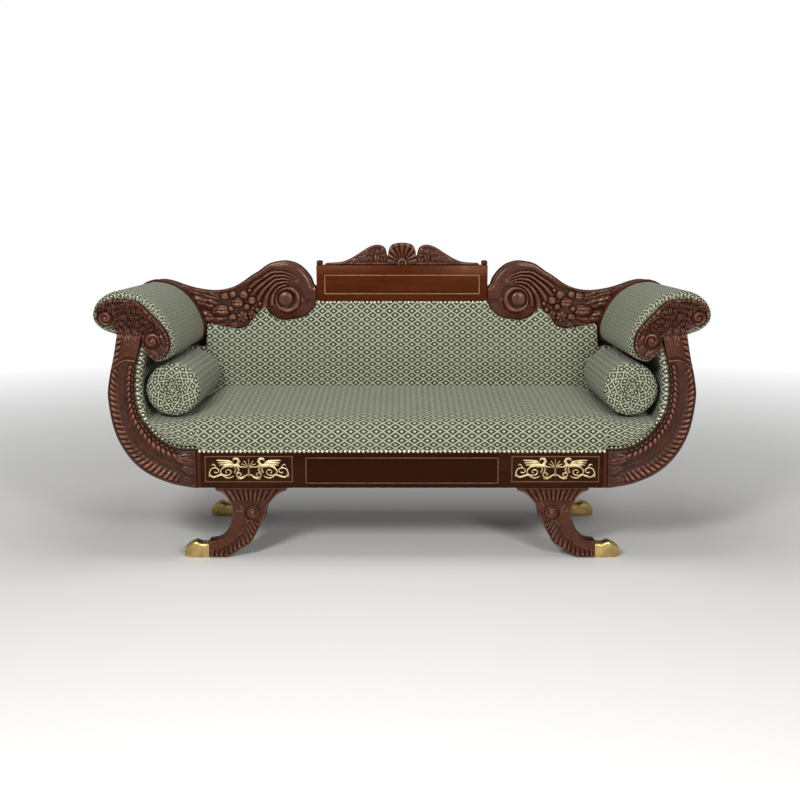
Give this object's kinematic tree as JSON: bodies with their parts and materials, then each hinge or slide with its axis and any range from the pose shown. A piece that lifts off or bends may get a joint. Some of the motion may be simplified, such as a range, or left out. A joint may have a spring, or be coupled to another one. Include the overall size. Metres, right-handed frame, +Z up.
{
  "type": "sofa",
  "caption": "Empire style carved mahogany sofa with scrolled arms, leaf carved crest, splayed paw feet, lattice upholstery and loose round bolsters.",
  "frame": {"origin": "centre of the bounding box at floor level, under the four brass toe caps", "axes": "+X to the sitter's left-hand side as seen from the front (right in the front view), +Y to the back of the sofa, +Z up; the front faces -Y"},
  "size_m": [2.0178, 0.7, 1.04],
  "materials": {
    "mahogany": "dark red-brown mahogany, carved and polished",
    "mahogany_veneer": "flat mahogany veneer, polished",
    "string_wood": "light string inlay under polish",
    "frame_wood": "plain sawn frame wood",
    "lattice_fabric": "woven green and cream lattice upholstery",
    "jute": "jute webbing and hessian",
    "dust_cloth": "black cambric",
    "spring_steel": "drawn spring wire",
    "brass_gilt": "cast and gilt brass"
  },
  "bodies": {
    "sofa": {"front_rail": "mahogany", "back_rail": "frame_wood", "end_rail_left": "frame_wood", "end_rail_right": "frame_wood", "corner_blocks": "frame_wood", "seat_braces": "frame_wood", "webbing": "jute", "seat_springs": "spring_steel", "spring_cover": "jute", "dust_cover": "dust_cloth", "seat_pad": "lattice_fabric", "back_pad": "lattice_fabric", "arm_lining_left": "lattice_fabric", "arm_lining_right": "lattice_fabric", "arm_roll_left": "lattice_fabric", "arm_roll_right": "lattice_fabric", "outside_arm_left": "lattice_fabric", "outside_arm_right": "lattice_fabric", "arm_facing_left": "mahogany", "arm_facing_right": "mahogany", "scroll_head_left": "mahogany", "scroll_head_right": "mahogany", "arm_post_left": "frame_wood", "arm_post_right": "frame_wood", "rear_post_left": "mahogany", "rear_post_right": "mahogany", "arm_stretchers_left": "frame_wood", "arm_stretchers_right": "frame_wood", "back_muntins": "frame_wood", "tack_rail": "frame_wood", "outside_back": "lattice_fabric", "crest_rail_left": "mahogany", "crest_rail_right": "mahogany", "crest_tablet": "mahogany_veneer", "crest_inlay": "string_wood", "crest_shell": "mahogany", "tablet_blocks": "mahogany", "leg_front_left": "mahogany", "leg_front_right": "mahogany", "leg_back_left": "mahogany", "leg_back_right": "mahogany", "toe_cap_front_left": "brass_gilt", "toe_cap_front_right": "brass_gilt", "toe_cap_back_left": "brass_gilt", "toe_cap_back_right": "brass_gilt", "rail_mount_left": "brass_gilt", "rail_mount_right": "brass_gilt", "rail_inlay": "string_wood"},
    "bolster_left": {"bolster_left": "lattice_fabric", "bolster_buttons_left": "lattice_fabric"},
    "bolster_right": {"bolster_right": "lattice_fabric", "bolster_buttons_right": "lattice_fabric"}
  },
  "joints": [
    {"name": "bolster_left_lift", "type": "slide", "parent": "sofa", "child": "bolster_left", "axis": [0.9022, 0, 0.4313], "range_m": [0, 0.35]},
    {"name": "bolster_right_lift", "type": "slide", "parent": "sofa", "child": "bolster_right", "axis": [-0.9022, 0, 0.4313], "range_m": [0, 0.35]}
  ]
}
